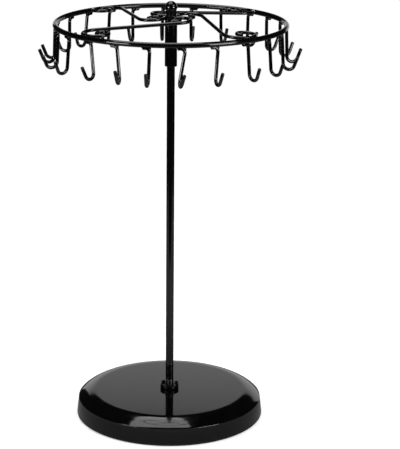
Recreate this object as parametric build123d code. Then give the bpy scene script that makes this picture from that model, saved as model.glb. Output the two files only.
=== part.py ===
from build123d import *
import math
import os

# A free-standing necklace carousel. A weighted round base carries an upright rod, and a sleeve that
# turns on the rod's top carries a ring of wire hooks on four S-scroll arms.
# The origin is the centre of the base where it rests on the table, and +Z is up. Sizes are in mm.

# Base: a pressed steel shell with a sharp crease, a rounded shoulder and a flat top
base_radius = 76.0
rim_lift = 0.6
skirt_lean = 1.5
shoulder_width = 14.5
shoulder_height = 5.9
crease_round = 0.5
shell_wall = 1.0
hem_width = 4.0
hem_bead = 0.9
cover_thickness = 1.8
cover_clearance = 0.4
pad_clearance = 0.5
ballast_edge_gap = 2.0
ballast_thickness = 6.0
ballast_chamfer = 1.0

# Rod and the fastenings that clamp it to the base
pole_radius = 3.175
thread_swell = 0.275
thread_depth = 0.55
thread_pitch = 1.27
thread_crest_share = 0.2
thread_past_nut = 3.5
thread_clearance = 0.05
hole_clearance = 0.25
foot_washer_radius = 9.0
washer_thickness = 1.6
lock_washer_radius = 5.6
lock_washer_split = 1.2
foot_nut_flats = 11.1
foot_nut_height = 5.3
foot_nut_chamfer = 0.8
foot_end_below_nut = 1.0
foot_end_above_cover = 0.5
top_washer_radius = 6.4
top_washer_thickness = 0.6
wing_nut_radius = 7.5
wing_body_height = 2.7
wing_edge_round = 0.3
wing_ear_bearings = [22, 142, 262]
wing_ear_width = 3.4
wing_ear_height = 4.4
wing_ear_thickness = 1.9
wing_ear_round = 0.5

# Turning head: sleeve, bushes, ball pivot and finial
ring_height = 322.7
sleeve_wall = 0.8
sleeve_length = 40.2
sleeve_edge_round = 0.3
sleeve_above_arms = 1.55
bush_wall = 0.8
bush_length = 10.0
bush_inset = 0.3
upper_bush_drop = 4.0
running_clearance = 0.06
seat_clearance = 0.03
plug_floor = 1.5
pivot_ball_radius = 2.0
pivot_gap = 0.03
pivot_cup_lip = 0.2
stud_radius = 2.0
stud_in_plug = 4.3
stud_in_finial = 4.5
stud_end_gap = 0.2
finial_ball_radius = 4.8
finial_neck_waist = 0.8
finial_neck_height = 3.55
finial_neck_round = 0.8

# Ring and its hooks
ring_radius = 90.0
ring_wire_radius = 2.05
weld_gap = 0.05
wire_end_round = 0.5
hook_wire_radius = 1.35
hook_weld_sink = 0.95
hook_foot_straight = 2.5
hook_foot_bend = 3.0
hook_depth = 29.6
hook_bowl_radius = 4.5
hook_flare_angle = 24.0
hook_tip_length = 8.0
hook_outward_lean = 2.0

# How each hook was welded on, as far as the photograph shows it: its bearing on the ring, its lean along
# the ring and the twist of its bowl, in degrees.
hook_settings = [
    (31.5, 2, 0), (46, 3, 0), (63, 0, 0), (79.5, 0, 0), (94.5, 0, 0), (110.5, -1, 0), (124, 2, 0),
    (139, 5, 0), (154, -2, 0), (172, 0, 0), (183, 0, 0), (197, -4, 5), (211.5, -5, 8), (229, 8, 0),
    (244, 6, 14), (260, -2, 0), (276.5, -10, 5), (292.5, -5, 0), (309.5, 3, 0), (325.5, 4, -5),
    (340.5, 4, 0), (0.5, 0, 15), (16.5, 0, 12)]

# S-scroll arms from the sleeve to the ring, each bent from one wire. Each curl is quarter arcs of
# falling radius: the third inner arc lies against the sleeve, and the second outer arc meets the ring.
arm_count = 4
arm_wire_radius = 1.35
arm_above_ring = 1.4
arm_tilt = 2.8
inner_curl_bearing = -65.9
inner_curl_radii = [10.0, 9.6, 7.4, 5.2, 3.6]
outer_curl_bearing = 223.3
outer_curl_radii = [12.8, 11.6, 8.4, 5.6, 4.0]

# How near an edge has to be to the radius and height that it is picked by
edge_match = 0.01

# Heights in the base, from the table up: pad and hem, cover, then the stack of fastenings and ballast
hem_top = rim_lift + shell_wall
cover_top = hem_top + cover_thickness
pole_bottom = cover_top + foot_end_above_cover
foot_nut_bottom = pole_bottom + foot_end_below_nut
lock_washer_bottom = foot_nut_bottom + foot_nut_height
foot_washer_bottom = lock_washer_bottom + washer_thickness
ballast_bottom = foot_washer_bottom + washer_thickness
shell_underside = ballast_bottom + ballast_thickness
base_top = shell_underside + shell_wall
crease_z = base_top - shoulder_height
wing_nut_bottom = base_top + top_washer_thickness
thread_top = wing_nut_bottom + wing_ear_height + thread_past_nut

# Radii in the base
crease_radius = base_radius - skirt_lean
flat_radius = crease_radius - shoulder_width
shoulder_radius = (shoulder_width ** 2 + shoulder_height ** 2) / (2 * shoulder_height)
shoulder_centre_z = base_top - shoulder_radius
thread_crest_radius = pole_radius + thread_swell
thread_hole_radius = thread_crest_radius + thread_clearance
clear_hole_radius = thread_crest_radius + hole_clearance

# Radii and heights in the turning head, which hangs from where the arms meet the sleeve
bush_bore_radius = pole_radius + running_clearance
bush_radius = bush_bore_radius + bush_wall
sleeve_bore_radius = bush_radius + seat_clearance
sleeve_radius = sleeve_bore_radius + sleeve_wall
arm_to_ring = ring_wire_radius + arm_wire_radius + weld_gap
arm_touch_radius = ring_radius - math.sqrt(arm_to_ring ** 2 - arm_above_ring ** 2)
arm_hub_z = ring_height + arm_above_ring + arm_touch_radius * math.tan(math.radians(arm_tilt))
sleeve_top = arm_hub_z + sleeve_above_arms
sleeve_bottom = sleeve_top - sleeve_length
plug_length = stud_in_plug + stud_end_gap + plug_floor
plug_bottom = sleeve_top - plug_length
pivot_ball_z = plug_bottom - pivot_gap - pivot_ball_radius
pole_top = pivot_ball_z + pivot_cup_lip
finial_neck_radius = finial_ball_radius - finial_neck_waist
finial_ball_z = sleeve_top + finial_neck_height + math.sqrt(finial_ball_radius ** 2 - finial_neck_radius ** 2)


def plan_direction(degrees):
    """A unit vector in the horizontal plane, from its bearing."""
    angle = math.radians(degrees)
    return Vector(math.cos(angle), math.sin(angle), 0)


def circle_edges(solid, radius, height):
    """The solid's circular edges about the Z axis at one radius and one height."""
    circles = solid.edges().filter_by(GeomType.CIRCLE)
    return circles.filter_by(lambda edge: abs(edge.radius - radius) < edge_match
                             and abs(edge.arc_center.Z - height) < edge_match)


def upright_face(points):
    """A face in the XZ plane from straight-sided (radius, height) points."""
    corners = [(radius, 0, height) for radius, height in points]
    return make_face(Polyline(*corners, close=True))


def turned(profile):
    """The solid that a profile in the XZ plane sweeps about the Z axis."""
    return revolve(profile, Axis.Z)


def ring_of(outer_radius, inner_radius, bottom, height):
    """A plain washer, tube or disc with a hole, standing on a given height."""
    at_mid = Pos(0, 0, bottom + height / 2)
    return at_mid * (Cylinder(outer_radius, height) - Cylinder(inner_radius, height))


def wire_solid(edges, radius, end_round):
    """Round wire with eased ends, along tangent lines and arcs that are given in order."""
    path = Wire(edges)
    section = Plane(origin=path @ 0, z_dir=path % 0) * Circle(radius)
    wire = sweep(section, path=path)
    return fillet(wire.faces().filter_by(GeomType.PLANE).edges(), end_round)


def shell_outline(inset):
    """The shell's section from the axis to the skirt, set in by a wall, down to its rim."""
    top_z = base_top - inset
    bend_radius = shoulder_radius - inset
    edge_radius = crease_radius - inset
    edge_run = shoulder_width - inset
    edge_z = shoulder_centre_z + math.sqrt(bend_radius ** 2 - edge_run ** 2)
    middle = math.radians(90) - math.atan2(edge_run, edge_z - shoulder_centre_z) / 2
    middle_point = (flat_radius + bend_radius * math.cos(middle), 0,
                    shoulder_centre_z + bend_radius * math.sin(middle))
    shoulder = ThreePointArc((flat_radius, 0, top_z), middle_point, (edge_radius, 0, edge_z))
    outline = Polyline((edge_radius, 0, edge_z), (base_radius - inset, 0, rim_lift),
                       (0, 0, rim_lift), (0, 0, top_z), (flat_radius, 0, top_z))
    return make_face(shoulder + outline)


def make_base_shell():
    """Pressed cover of the base, with its rim rolled in to a hem that holds the bottom cover."""
    outside = turned(shell_outline(0))
    outside = fillet(circle_edges(outside, crease_radius, crease_z), crease_round)
    shell = outside - turned(shell_outline(shell_wall))
    hem = ring_of(base_radius - shell_wall / 2, base_radius - hem_width, rim_lift, shell_wall)
    bead = Pos(0, 0, rim_lift + hem_bead) * Torus(base_radius - hem_bead, hem_bead)
    hole = Pos(0, 0, base_top) * Cylinder(clear_hole_radius, 4 * shell_wall)
    return shell + hem + bead - hole


def make_ballast_disc():
    """Iron disc that lies against the underside of the flat top and gives the base its weight."""
    disc = ring_of(flat_radius - ballast_edge_gap, clear_hole_radius, ballast_bottom, ballast_thickness)
    rims = disc.edges().filter_by(GeomType.CIRCLE).group_by(SortBy.RADIUS)[-1]
    return chamfer(rims, ballast_chamfer)


def make_bottom_cover():
    """Board that closes the base and rests on the rolled hem."""
    radius = base_radius - hem_bead - max(hem_bead, shell_wall) - cover_clearance
    return Pos(0, 0, hem_top + cover_thickness / 2) * Cylinder(radius, cover_thickness)


def make_base_pad():
    """Soft pad glued under the bottom cover, inside the hem. The carousel stands on it."""
    radius = base_radius - hem_width - pad_clearance
    return Pos(0, 0, hem_top / 2) * Cylinder(radius, hem_top)


def make_pole():
    """Upright rod with a rolled thread at its foot and a cup for the pivot ball in its top."""
    plain_length = pole_top - thread_top
    rod = Pos(0, 0, thread_top + plain_length / 2) * Cylinder(pole_radius, plain_length)
    cup = Pos(0, 0, pivot_ball_z) * Sphere(pivot_ball_radius + seat_clearance)
    root_radius = thread_crest_radius - thread_depth
    turns = math.floor((thread_top - pole_bottom) / thread_pitch)
    flank = thread_pitch * (1 - thread_crest_share) / 2
    points = [(0, pole_bottom), (root_radius, pole_bottom)]
    for turn in range(turns):
        foot = pole_bottom + turn * thread_pitch
        points.append((thread_crest_radius, foot + flank))
        points.append((thread_crest_radius, foot + thread_pitch - flank))
        points.append((root_radius, foot + thread_pitch))
    points += [(pole_radius, thread_top), (0, thread_top)]
    return rod + turned(upright_face(points)) - cup


def make_lock_washer():
    """Split spring washer between the foot washer and the nut."""
    washer = ring_of(lock_washer_radius, thread_hole_radius, lock_washer_bottom, washer_thickness)
    split = Pos(lock_washer_radius, 0, lock_washer_bottom + washer_thickness / 2) * Box(
        lock_washer_radius, lock_washer_split, 2 * washer_thickness)
    return washer - split


def make_foot_nut():
    """Hexagon nut that clamps the rod under the ballast."""
    hexagon = RegularPolygon(foot_nut_flats / 2, 6, major_radius=False)
    corner_radius = foot_nut_flats / math.sqrt(3)
    blank = Cylinder(corner_radius, foot_nut_height)
    rounded = chamfer(blank.edges().filter_by(GeomType.CIRCLE), foot_nut_chamfer)
    nut = extrude(hexagon, foot_nut_height / 2, both=True) & rounded
    bore = Cylinder(thread_hole_radius, 2 * foot_nut_height)
    return Pos(0, 0, foot_nut_bottom + foot_nut_height / 2) * (nut - bore)


def make_wing_nut():
    """Low round nut with three short ears on its rim, tightened by hand on top of the base."""
    body = Pos(0, 0, wing_body_height / 2) * Cylinder(wing_nut_radius, wing_body_height)
    body = fillet(body.edges().group_by(Axis.Z)[-1], wing_edge_round)
    rim = Pos(0, 0, wing_ear_height / 2) * Cylinder(wing_nut_radius, wing_ear_height)
    nut = body
    for bearing in wing_ear_bearings:
        middle = Pos(wing_nut_radius - wing_ear_thickness / 2, 0, wing_ear_height / 2)
        ear = middle * Box(wing_ear_thickness, wing_ear_width, wing_ear_height)
        ear = fillet(ear.edges().filter_by(Axis.X).group_by(Axis.Z)[-1], wing_ear_round)
        nut += (ear & rim).rotate(Axis.Z, bearing)
    return Pos(0, 0, wing_nut_bottom) * (nut - Cylinder(thread_hole_radius, 4 * wing_ear_height))


def make_hub_sleeve():
    """Tube that turns on the rod, with its outer edges eased."""
    sleeve = ring_of(sleeve_radius, sleeve_bore_radius, sleeve_bottom, sleeve_length)
    bottom_edge = circle_edges(sleeve, sleeve_radius, sleeve_bottom)
    top_edge = circle_edges(sleeve, sleeve_radius, sleeve_top)
    return fillet(bottom_edge + top_edge, sleeve_edge_round)


def make_sleeve_plug():
    """Steel plug in the sleeve's top: it rides on the pivot ball and holds the finial's stud."""
    radius = sleeve_bore_radius - seat_clearance
    plug = Pos(0, 0, plug_bottom + plug_length / 2) * Cylinder(radius, plug_length)
    hole_depth = stud_in_plug + stud_end_gap
    hole = Pos(0, 0, sleeve_top - hole_depth / 2) * Cylinder(stud_radius + seat_clearance, hole_depth)
    return plug - hole


def make_finial():
    """Ball knob on a short neck that closes the top of the sleeve."""
    ball = Pos(0, 0, finial_ball_z) * Sphere(finial_ball_radius)
    neck_length = finial_ball_z - sleeve_top
    neck = Pos(0, 0, sleeve_top + neck_length / 2) * Cylinder(finial_neck_radius, neck_length)
    hole_depth = stud_in_finial + stud_end_gap
    hole = Pos(0, 0, sleeve_top + hole_depth / 2) * Cylinder(stud_radius + seat_clearance, hole_depth)
    knob = ball + neck
    knob = fillet(circle_edges(knob, finial_neck_radius, sleeve_top + finial_neck_height), finial_neck_round)
    return knob - hole


def make_hook(bearing, side_lean, twist):
    """J-shaped wire hook. Its foot is sunk into the weld under the ring and its bowl opens outward."""
    foot_z = ring_height - ring_wire_radius - hook_wire_radius + hook_weld_sink
    bend_z = foot_z - hook_foot_bend
    bowl_z = ring_height - hook_depth + hook_bowl_radius
    flare = math.radians(hook_flare_angle)
    bend_angle = math.radians(90 - side_lean)
    foot = Line((0, -hook_foot_bend - hook_foot_straight, foot_z), (0, -hook_foot_bend, foot_z))
    foot_bend = ThreePointArc(foot @ 1, foot_bend_point(bend_angle / 2, bend_z),
                              foot_bend_point(bend_angle, bend_z))
    bowl_end = (hook_bowl_radius * (1 + math.cos(flare)), 0, bowl_z - hook_bowl_radius * math.sin(flare))
    bowl = ThreePointArc((0, 0, bowl_z), (hook_bowl_radius, 0, bowl_z - hook_bowl_radius), bowl_end)
    tip = Line(bowl @ 1, bowl @ 1 + (bowl % 1) * hook_tip_length)
    hang = [Line((0, 0, bend_z), (0, 0, bowl_z)), Rot(0, 0, twist) * bowl, Rot(0, 0, twist) * tip]
    lean = Pos(0, -hook_foot_bend, bend_z) * Rot(side_lean, 0, 0) * Pos(0, hook_foot_bend, -bend_z)
    wire = wire_solid([foot, foot_bend] + [lean * edge for edge in hang], hook_wire_radius, wire_end_round)
    outward = Pos(0, 0, foot_z) * Rot(0, -hook_outward_lean, 0) * Pos(0, 0, -foot_z)
    welded_ring = Pos(-ring_radius, 0, ring_height) * Torus(ring_radius, ring_wire_radius + weld_gap)
    return Rot(0, 0, bearing) * Pos(ring_radius, 0, 0) * (outward * wire - welded_ring)


def foot_bend_point(angle, bend_z):
    """A point on the bend between a hook's foot and its shank, after so much of the turn."""
    return (0, hook_foot_bend * (math.sin(angle) - 1), bend_z + hook_foot_bend * math.cos(angle))


def curl(start, heading, radii, first_turn):
    """Start, middle and end of quarter arcs of falling radius. The first has its own angle."""
    arcs = []
    point, bearing = start, heading
    for index, radius in enumerate(radii):
        turn = first_turn if index == 0 else 90
        centre = point + plan_direction(bearing + 90) * radius
        middle = centre + plan_direction(bearing - 90 + turn / 2) * radius
        end = centre + plan_direction(bearing - 90 + turn) * radius
        arcs.append((point, middle, end))
        point, bearing = end, bearing + turn
    return arcs


def curl_offset(radii, first, last):
    """How far the centre moves between two arcs of a curl whose first arc ends on a right angle."""
    steps = [radii[index] - radii[index + 1] for index in range(first, last)]
    directions = [plan_direction(90 * index) for index in range(first, last)]
    return sum((direction * step for direction, step in zip(directions, steps)), Vector(0, 0, 0))


def make_scroll_arm(turn):
    """S-scroll in one tilted plane: its inner curl touches the sleeve, its outer curl the ring."""
    sleeve_reach = sleeve_radius + weld_gap + arm_wire_radius + inner_curl_radii[2]
    ring_reach = arm_touch_radius / math.cos(math.radians(arm_tilt)) - outer_curl_radii[1]
    inner_centre = plan_direction(inner_curl_bearing) * sleeve_reach - curl_offset(inner_curl_radii, 0, 2)
    outer_centre = plan_direction(outer_curl_bearing) * ring_reach + curl_offset(outer_curl_radii, 0, 1)
    between = outer_centre - inner_centre
    bearing = math.degrees(math.atan2(between.Y, between.X))
    swing = math.degrees(math.asin((inner_curl_radii[0] + outer_curl_radii[0]) / between.length))
    heading = (bearing - swing) % 360
    outer_start = outer_centre - plan_direction(heading + 90) * outer_curl_radii[0]
    inner_start = inner_centre - plan_direction(heading - 90) * inner_curl_radii[0]
    outward = curl(outer_start, heading, outer_curl_radii, 270 - heading)
    inward = curl(inner_start, heading - 180, inner_curl_radii, 270 - heading)
    edges = [ThreePointArc(end, middle, begin) for begin, middle, end in reversed(inward)]
    edges.append(Line(inner_start, outer_start))
    edges += [ThreePointArc(begin, middle, end) for begin, middle, end in outward]
    arm = wire_solid(edges, arm_wire_radius, wire_end_round)
    tilt_axis = Axis(Vector(0, 0, 0), plan_direction(outer_curl_bearing + 90))
    return Rot(0, 0, turn) * Pos(0, 0, arm_hub_z) * arm.rotate(tilt_axis, arm_tilt)


def make_parts():
    """Every separate piece by its name."""
    parts = {
        "base_shell": make_base_shell(),
        "ballast_disc": make_ballast_disc(),
        "bottom_cover": make_bottom_cover(),
        "base_pad": make_base_pad(),
        "foot_washer": ring_of(foot_washer_radius, clear_hole_radius, foot_washer_bottom, washer_thickness),
        "lock_washer": make_lock_washer(),
        "foot_nut": make_foot_nut(),
        "top_washer": ring_of(top_washer_radius, clear_hole_radius, base_top, top_washer_thickness),
        "wing_nut": make_wing_nut(),
        "pole": make_pole(),
        "pivot_ball": Pos(0, 0, pivot_ball_z) * Sphere(pivot_ball_radius),
        "hub_sleeve": make_hub_sleeve(),
        "lower_bush": ring_of(bush_radius, bush_bore_radius, sleeve_bottom + bush_inset, bush_length),
        "upper_bush": ring_of(bush_radius, bush_bore_radius, pole_top - upper_bush_drop - bush_length,
                              bush_length),
        "sleeve_plug": make_sleeve_plug(),
        "finial_stud": Pos(0, 0, sleeve_top + (stud_in_finial - stud_in_plug) / 2) * Cylinder(
            stud_radius, stud_in_finial + stud_in_plug),
        "finial": make_finial(),
        "ring": Pos(0, 0, ring_height) * Torus(ring_radius, ring_wire_radius),
    }
    for index in range(arm_count):
        parts[f"scroll_arm_{index + 1}"] = make_scroll_arm(index * 360 / arm_count)
    for index, setting in enumerate(hook_settings):
        parts[f"hook_{index + 1:02d}"] = make_hook(*setting)
    return parts


os.makedirs("parts", exist_ok=True)
for name, shape in make_parts().items():
    export_step(shape, f"parts/{name}.step")
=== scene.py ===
import logging
import math
from dataclasses import dataclass
from enum import Enum
from typing import Callable, Sequence

import bmesh
import bpy
from bpy.types import Material, Mesh, Node, NodeSocket, NodeTree, Object
from mathutils import Matrix, Vector


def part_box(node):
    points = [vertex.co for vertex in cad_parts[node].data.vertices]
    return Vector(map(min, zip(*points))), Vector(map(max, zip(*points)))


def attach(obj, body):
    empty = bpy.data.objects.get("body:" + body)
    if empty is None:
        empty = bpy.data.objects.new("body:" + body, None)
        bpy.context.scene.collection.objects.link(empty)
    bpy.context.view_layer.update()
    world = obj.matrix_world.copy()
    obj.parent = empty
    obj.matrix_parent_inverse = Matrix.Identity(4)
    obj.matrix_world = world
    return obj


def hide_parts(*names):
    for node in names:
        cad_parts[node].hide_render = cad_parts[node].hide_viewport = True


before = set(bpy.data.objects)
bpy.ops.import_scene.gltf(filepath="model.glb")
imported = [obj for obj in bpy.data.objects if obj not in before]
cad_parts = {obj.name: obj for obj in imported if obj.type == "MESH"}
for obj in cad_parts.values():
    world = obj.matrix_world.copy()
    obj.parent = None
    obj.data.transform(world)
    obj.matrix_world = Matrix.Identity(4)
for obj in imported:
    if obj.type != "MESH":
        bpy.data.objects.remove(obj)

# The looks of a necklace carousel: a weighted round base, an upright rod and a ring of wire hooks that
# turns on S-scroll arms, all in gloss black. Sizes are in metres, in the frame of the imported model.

log = logging.getLogger("carousel")

Point2 = tuple[float, float]
Colour = tuple[float, float, float]

FULL_TURN = 2.0 * math.pi
RING_WIRE = 0.00205
BENT_WIRE = 0.00135
WELD_GAP = 0.00005
MERGE_GAP = 1e-6
LATHE_CREASE = 32.0
THREAD_CREASE = 60.0
WIRE_CREASE = 50.0
WELD_CREASE = 80.0
LUMP_SCALE = 600.0


class Body(Enum):
    """The two bodies of the carousel."""

    STAND = "stand"
    HEAD = "carousel"


class Slot(Enum):
    """Names of material slots; deliver takes one for each piece but does nothing with it."""

    GLOSS_BLACK = "gloss_black"
    FOAM_PAD = "foam_pad"


def node_span(name: str) -> Point2:
    """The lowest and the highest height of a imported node."""
    low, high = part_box(name)
    return low.z, high.z


def node_radius(name: str) -> float:
    """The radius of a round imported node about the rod's axis."""
    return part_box(name)[1].x


def ring_place() -> Point2:
    """The radius and the height of the middle of the ring's wire."""
    return node_radius("ring") - RING_WIRE, sum(node_span("ring")) / 2.0


class Tree:
    """Adds nodes to one node tree and links them."""

    def __init__(self, tree: NodeTree) -> None:
        """Keep the tree that is built."""
        self.tree = tree

    def feed(self, value: object, target: NodeSocket) -> None:
        """Give an input socket a link from another socket, or a plain value."""
        if isinstance(value, NodeSocket):
            self.tree.links.new(value, target)
        else:
            target.default_value = value

    def add(self, kind: str, inputs: dict | None = None, **settings: object) -> Node:
        """Add a node.

        Args:
            kind: the node's type name.
            inputs: a socket or a plain value for each input, by its name or number.
            **settings: properties to set on the node.

        Returns:
            The new node.
        """
        node = self.tree.nodes.new(kind)
        for name, value in settings.items():
            setattr(node, name, value)
        for name, value in (inputs or {}).items():
            self.feed(value, node.inputs[name])
        return node

    def out(self, kind: str, inputs: dict | None = None, **settings: object) -> NodeSocket:
        """Add a node as add does, and give its first output."""
        return self.add(kind, inputs, **settings).outputs[0]

    def math(self, operation: str, *operands: object) -> NodeSocket:
        """Add a Math node for an operation on sockets or numbers, and give its result."""
        return self.out("ShaderNodeMath", dict(enumerate(operands)), operation=operation)

    def axis(self, vector: NodeSocket, name: str) -> NodeSocket:
        """One axis of a vector, by its name."""
        return self.add("ShaderNodeSeparateXYZ", {0: vector}).outputs[name]

    def place(self) -> NodeSocket:
        """The Object coordinates."""
        return self.add("ShaderNodeTexCoord").outputs["Object"]

    def map_range(self, value: object, low: object, high: object, to_low: object, to_high: object,
                  smooth: bool = False) -> NodeSocket:
        """Add a Map Range node that clamps its result.

        Args:
            value: the value to map.
            low: the value that maps to to_low.
            high: the value that maps to to_high.
            to_low: the result at low.
            to_high: the result at high.
            smooth: whether the change eases in and out.

        Returns:
            The result.
        """
        inputs = {"Value": value, "From Min": low, "From Max": high, "To Min": to_low, "To Max": to_high}
        kind = "SMOOTHSTEP" if smooth else "LINEAR"
        return self.out("ShaderNodeMapRange", inputs, interpolation_type=kind, clamp=True)

    def mix_colour(self, factor: object, *colours: object) -> NodeSocket:
        """Add a colour mix.

        Args:
            factor: how much of the second colour shows.
            *colours: the first and the second colour.

        Returns:
            The mixed colour.
        """
        node = self.add("ShaderNodeMix", {"Factor": factor}, data_type="RGBA")
        for colour, target in zip(colours, (socket for socket in node.inputs if socket.type == "RGBA")):
            self.feed(colour, target)
        return next(socket for socket in node.outputs if socket.type == "RGBA")

    def noise(self, scale: object, detail: float, roughness: float) -> NodeSocket:
        """Add a noise on Object coordinates.

        Args:
            scale: features per metre.
            detail: how many finer layers are added.
            roughness: how strong the finer layers are.

        Returns:
            The noise's value, from 0 to 1.
        """
        inputs = {"Vector": self.place(), "Scale": scale, "Detail": detail, "Roughness": roughness}
        return self.add("ShaderNodeTexNoise", inputs, noise_dimensions="3D").outputs["Fac"]


class GroupTree(Tree):
    """A node group whose sockets have names."""

    def __init__(self, name: str, kind: str = "ShaderNodeTree") -> None:
        """Make an empty group of the given kind of tree."""
        super().__init__(bpy.data.node_groups.new(name, kind))
        self.source = self.add("NodeGroupInput")
        self.sink = self.add("NodeGroupOutput")

    def takes(self, inputs: dict[str, object]) -> list[NodeSocket]:
        """Declare inputs.

        Args:
            inputs: each input's default value by its name, or None for a geometry or a material of that name.

        Returns:
            The sockets that give the inputs' values inside the group.
        """
        for name, default in inputs.items():
            kind = {float: "Float", int: "Int", tuple: "Vector", type(None): name}[type(default)]
            if kind == "Vector" and len(default) == 4:
                kind = "Color"
            item = self.tree.interface.new_socket(name=name, in_out="INPUT", socket_type="NodeSocket" + kind)
            if default is not None:
                item.default_value = default
        return [self.source.outputs[name] for name in inputs]

    def gives(self, name: str, value: NodeSocket) -> None:
        """Declare an output of the same kind as the socket that feeds it."""
        kind = {"VALUE": "Float", "RGBA": "Color", "VECTOR": "Vector", "GEOMETRY": "Geometry"}[value.type]
        self.tree.interface.new_socket(name=name, in_out="OUTPUT", socket_type="NodeSocket" + kind)
        self.feed(value, self.sink.inputs[name])


class SharedEffects:
    """Surface effects that several finishes use, each a shader node group."""

    def __init__(self) -> None:
        """Build the groups once."""
        self.mottle = self._mottle()
        self.skin = self._skin()
        self.height_wear = self._height_wear()

    @staticmethod
    def _mottle() -> NodeTree:
        """A colour and a roughness that wander between two values each."""
        group = GroupTree("surface_mottle")
        scale, dark, light, low, high = group.takes({
            "Scale": 120.0, "Dark Colour": (0.01, 0.01, 0.01, 1.0), "Light Colour": (0.02, 0.02, 0.02, 1.0),
            "Low Roughness": 0.1, "High Roughness": 0.2})
        broad = group.noise(scale, 4.0, 0.55)
        fine = group.noise(group.math("MULTIPLY", scale, 7.3), 3.0, 0.6)
        blend = group.math("ADD", group.math("MULTIPLY", broad, 0.7), group.math("MULTIPLY", fine, 0.3))
        spread = group.map_range(blend, 0.32, 0.68, 0.0, 1.0, smooth=True)
        group.gives("Colour", group.mix_colour(spread, dark, light))
        group.gives("Roughness", group.map_range(spread, 0.0, 1.0, low, high))
        return group.tree

    @staticmethod
    def _skin() -> NodeTree:
        """The normal of a sprayed or cast skin, from two sizes of ripple."""
        group = GroupTree("surface_skin")
        scale, fine_share, strength, depth = group.takes({
            "Scale": 400.0, "Fine Share": 0.3, "Strength": 0.1, "Depth": 0.0001})
        ripple = group.noise(scale, 1.5, 0.5)
        grit = group.noise(group.math("MULTIPLY", scale, 4.1), 2.0, 0.6)
        height = group.math("MULTIPLY_ADD", grit, fine_share, ripple)
        bump = group.add("ShaderNodeBump", {"Height": height, "Strength": strength, "Distance": depth})
        group.gives("Normal", bump.outputs["Normal"])
        return group.tree

    @staticmethod
    def _height_wear() -> NodeTree:
        """A broken mask that is strongest at one height, as where a surface is rubbed."""
        group = GroupTree("height_wear")
        height, spread, scale = group.takes({"Height": 0.0, "Spread": 0.002, "Scale": 900.0})
        away = group.math("ABSOLUTE", group.math("SUBTRACT", group.axis(group.place(), "Z"), height))
        near = group.map_range(away, 0.0, spread, 1.0, 0.0, smooth=True)
        broken = group.map_range(group.noise(scale, 5.0, 0.7), 0.45, 0.62, 0.0, 1.0, smooth=True)
        group.gives("Mask", group.math("MULTIPLY", near, broken))
        return group.tree


@dataclass(frozen=True)
class Finish:
    """A surface finish: how its colour, gloss and relief vary, all on Object coordinates."""

    name: str
    dark: Colour
    light: Colour
    low_roughness: float
    high_roughness: float
    mottle_scale: float
    skin_scale: float
    skin_strength: float
    skin_depth: float
    fine_share: float = 0.3
    metallic: float = 0.0
    specular: float = 0.5
    wear_height: float = 0.0
    wear_spread: float = 0.0
    wear_colour: Colour = (0.0, 0.0, 0.0)

    def build(self, effects: SharedEffects) -> Material:
        """Make the material.

        Args:
            effects: the shared node groups.

        Returns:
            The new material.
        """
        material = bpy.data.materials.new(self.name)
        material.use_nodes = True
        tree = Tree(material.node_tree)
        shader = material.node_tree.nodes["Principled BSDF"]
        mottle = tree.add("ShaderNodeGroup", {
            "Scale": self.mottle_scale, "Dark Colour": (*self.dark, 1.0), "Light Colour": (*self.light, 1.0),
            "Low Roughness": self.low_roughness, "High Roughness": self.high_roughness}, node_tree=effects.mottle)
        skin = tree.add("ShaderNodeGroup", {
            "Scale": self.skin_scale, "Fine Share": self.fine_share, "Strength": self.skin_strength,
            "Depth": self.skin_depth}, node_tree=effects.skin)
        colour = mottle.outputs["Colour"]
        if self.wear_spread > 0.0:
            wear = tree.out("ShaderNodeGroup", {"Height": self.wear_height, "Spread": self.wear_spread},
                            node_tree=effects.height_wear)
            colour = tree.mix_colour(wear, colour, (*self.wear_colour, 1.0))
        for name, value in (("Normal", skin.outputs["Normal"]), ("Roughness", mottle.outputs["Roughness"]),
                            ("Base Color", colour), ("Metallic", self.metallic),
                            ("Specular IOR Level", self.specular)):
            tree.feed(value, shader.inputs[name])
        return material


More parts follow.
